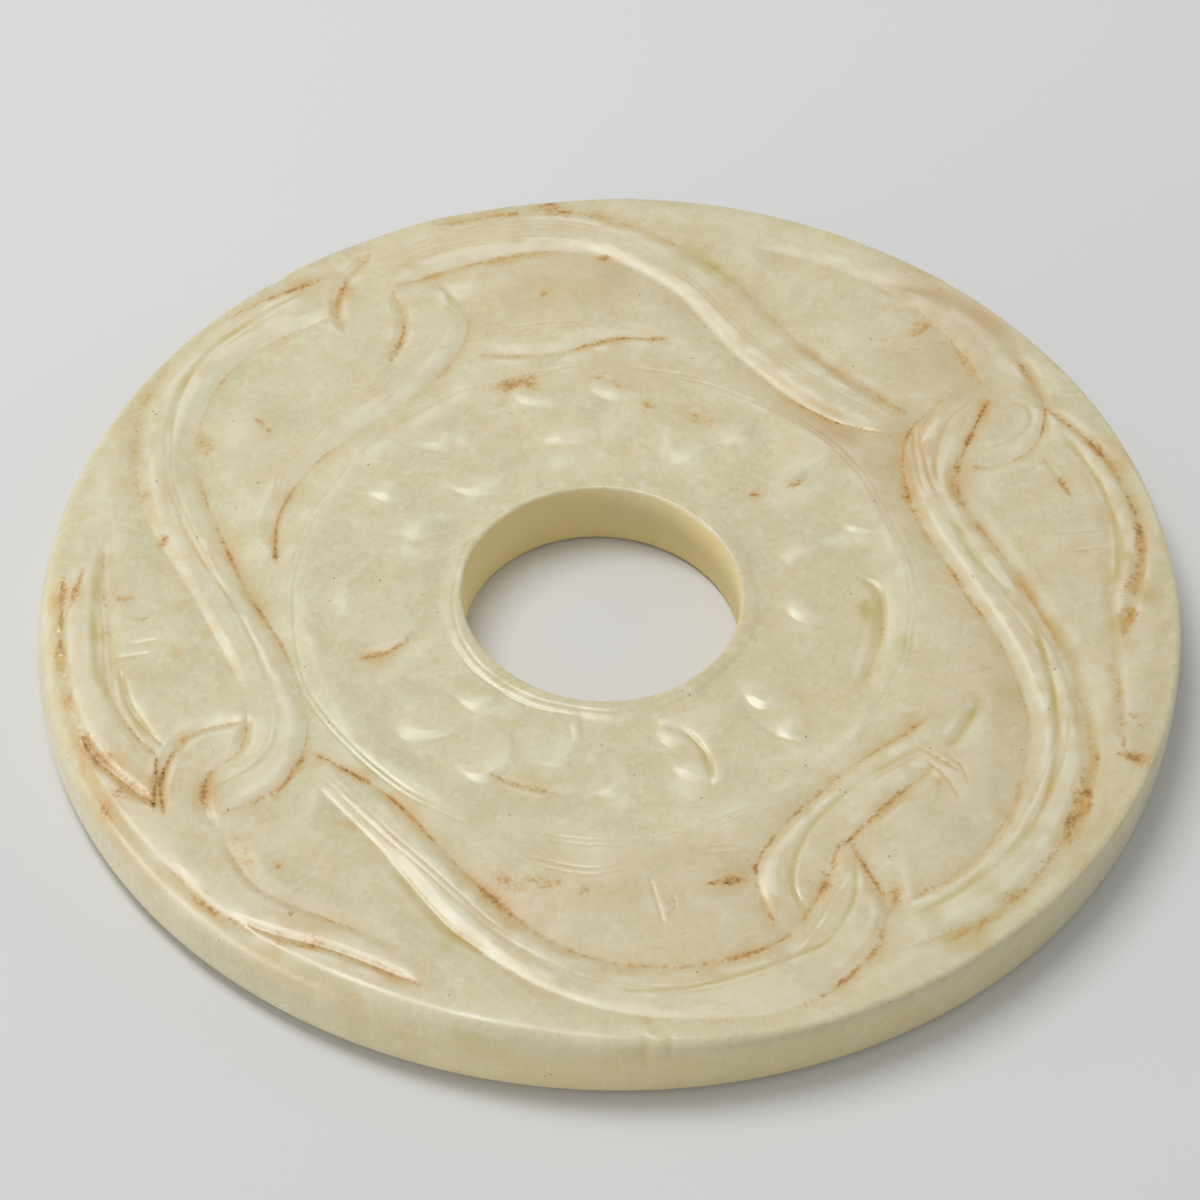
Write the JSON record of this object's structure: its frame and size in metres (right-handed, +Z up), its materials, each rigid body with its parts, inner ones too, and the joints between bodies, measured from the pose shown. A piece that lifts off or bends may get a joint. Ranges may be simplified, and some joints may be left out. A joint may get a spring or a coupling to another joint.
{
  "type": "jade bi disc",
  "caption": "Flat round jade ring with a central hole, carved on its upper face with knotted ribbons round a band of low grain bosses; an ornament that lies flat.",
  "frame": {"origin": "middle of the box of the flat underside", "axes": "+Z up out of the carved face, +X to the right and +Y away from the viewer when the carved face is seen as in the picture"},
  "size_m": [0.0566, 0.0554, 0.0039],
  "materials": {
    "nephrite": "waxy polish, pale celadon with rust-brown stains in the cuts"
  },
  "bodies": {
    "root": {"jade_disc": "nephrite"}
  },
  "joints": []
}
